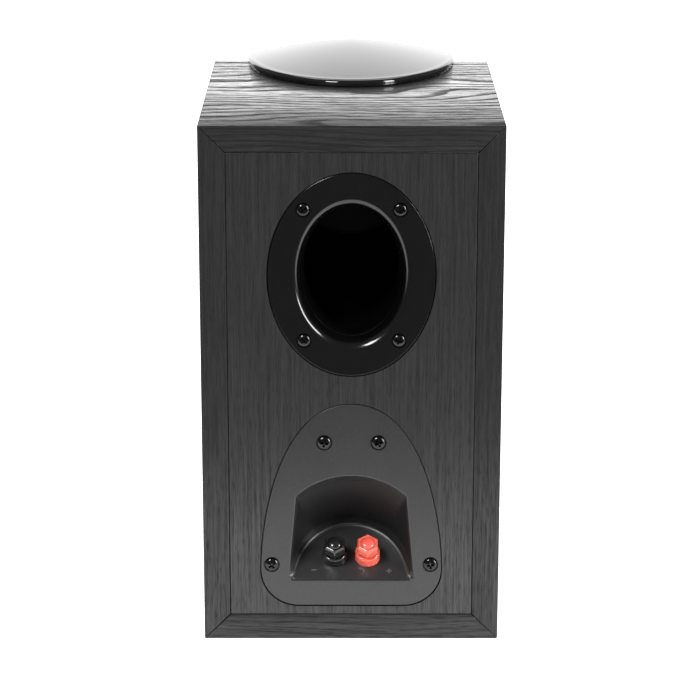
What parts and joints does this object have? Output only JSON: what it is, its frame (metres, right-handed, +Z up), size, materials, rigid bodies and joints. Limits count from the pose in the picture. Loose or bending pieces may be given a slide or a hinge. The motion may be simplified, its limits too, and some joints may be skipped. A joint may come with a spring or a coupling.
{
  "type": "bookshelf speaker",
  "caption": "Two-way bookshelf speaker: black-ash box with an arched gloss cap, cloth grille, rear elliptical port and recessed binding posts.",
  "frame": {"origin": "middle of the footprint of the whole speaker, on the surface it stands on", "axes": "+Z up, the grille faces -Y, the port and terminals face +Y, +X is to the right seen from the front"},
  "size_m": [0.17, 0.2232, 0.3163],
  "materials": {
    "black_ash": "black ash vinyl on MDF, embossed grain, low sheen",
    "mdf": "raw MDF",
    "gloss_black": "high gloss black moulding",
    "satin_black": "smooth satin black moulding",
    "textured_black": "finely spark-textured black moulding",
    "black_screw": "black zinc plated steel",
    "post_red": "glossy red, slightly clear",
    "post_black": "glossy black",
    "nickel": "nickel plated brass",
    "zinc_steel": "zinc plated pressed steel",
    "ferrite": "sintered ferrite, dull grey-black",
    "cone_pulp": "pressed coated pulp",
    "rubber": "moulded butyl rubber",
    "spider_cloth": "resin-dipped corrugated cloth",
    "copper_wire": "enamelled copper windings",
    "silk": "coated silk",
    "grille_cloth": "black knitted acoustic cloth",
    "circuit_board": "green solder mask",
    "capacitor_film": "yellow film sleeve",
    "cement": "cement-filled ceramic case",
    "cable": "black jacketed two-core cable",
    "wadding": "white polyester wadding"
  },
  "bodies": {
    "cabinet": {"acoustic_wadding": "wadding", "black_post_collar": "post_black", "black_post_stud": "nickel", "bottom_panel": "black_ash", "cabinet_brace": "mdf", "crossover_board": "circuit_board", "crossover_resistor": "cement", "cup_screw_1": "black_screw", "cup_screw_2": "black_screw", "cup_screw_3": "black_screw", "cup_screw_4": "black_screw", "front_baffle": "mdf", "front_fascia": "gloss_black", "input_cable": "cable", "port_flare": "satin_black", "port_screw_1": "black_screw", "port_screw_2": "black_screw", "port_screw_3": "black_screw", "port_screw_4": "black_screw", "port_tube": "satin_black", "rear_panel": "black_ash", "red_post_collar": "post_red", "red_post_stud": "nickel", "side_panel_left": "black_ash", "side_panel_right": "black_ash", "terminal_cup": "textured_black", "top_cap": "gloss_black", "top_panel": "black_ash", "tweeter_cable": "cable", "tweeter_capacitor": "capacitor_film", "tweeter_faceplate": "satin_black", "tweeter_inductor": "copper_wire", "tweeter_magnet": "ferrite", "tweeter_screw_1": "black_screw", "tweeter_screw_2": "black_screw", "tweeter_surround": "silk", "tweeter_top_plate": "zinc_steel", "tweeter_yoke": "zinc_steel", "woofer_basket": "zinc_steel", "woofer_cable": "cable", "woofer_inductor": "copper_wire", "woofer_magnet": "ferrite", "woofer_screw_1": "black_screw", "woofer_screw_2": "black_screw", "woofer_screw_3": "black_screw", "woofer_screw_4": "black_screw", "woofer_spider": "spider_cloth", "woofer_surround": "rubber", "woofer_top_plate": "zinc_steel", "woofer_yoke": "zinc_steel"},
    "grille": {"grille_frame": "satin_black", "grille_cloth": "grille_cloth"},
    "woofer_moving": {"woofer_cone": "cone_pulp", "woofer_dust_cap": "cone_pulp", "woofer_voice_coil": "copper_wire"},
    "tweeter_moving": {"tweeter_dome": "silk"},
    "red_clamp": {"red_post_washer": "nickel"},
    "red_cap": {"red_post_cap": "post_red"},
    "black_clamp": {"black_post_washer": "nickel"},
    "black_cap": {"black_post_cap": "post_black"}
  },
  "joints": [
    {"name": "grille_pull", "type": "slide", "parent": "cabinet", "child": "grille", "axis": [0, -1, 0], "range_m": [0, 0.04]},
    {"name": "woofer_travel", "type": "slide", "parent": "cabinet", "child": "woofer_moving", "axis": [0, -1, 0], "range_m": [-0.005, 0.005], "stiffness_N_per_m": 1200, "deforming": ["woofer_surround", "woofer_spider"]},
    {"name": "tweeter_travel", "type": "slide", "parent": "cabinet", "child": "tweeter_moving", "axis": [0, -1, 0], "range_m": [-0.0004, 0.0004], "stiffness_N_per_m": 150, "deforming": ["tweeter_surround"]},
    {"name": "red_clamp_slide", "type": "slide", "parent": "cabinet", "child": "red_clamp", "axis": [0, 0.5948, 0.8039], "range_m": [0, 0.003]},
    {"name": "red_cap_turn", "type": "hinge", "parent": "red_clamp", "child": "red_cap", "pos_m": [-0.0095, 0.09719, 0.04602], "axis": [0, 0.5948, 0.8039], "range_deg": [0, 1081]},
    {"name": "black_clamp_slide", "type": "slide", "parent": "cabinet", "child": "black_clamp", "axis": [0, 0.5948, 0.8039], "range_m": [0, 0.003]},
    {"name": "black_cap_turn", "type": "hinge", "parent": "black_clamp", "child": "black_cap", "pos_m": [0.0095, 0.09719, 0.04602], "axis": [0, 0.5948, 0.8039], "range_deg": [0, 1081]}
  ],
  "couplings": [
    {"joint": "red_cap_turn", "follows": "red_clamp_slide", "rad_per_m": 6283.2},
    {"joint": "black_cap_turn", "follows": "black_clamp_slide", "rad_per_m": 6283.2}
  ]
}
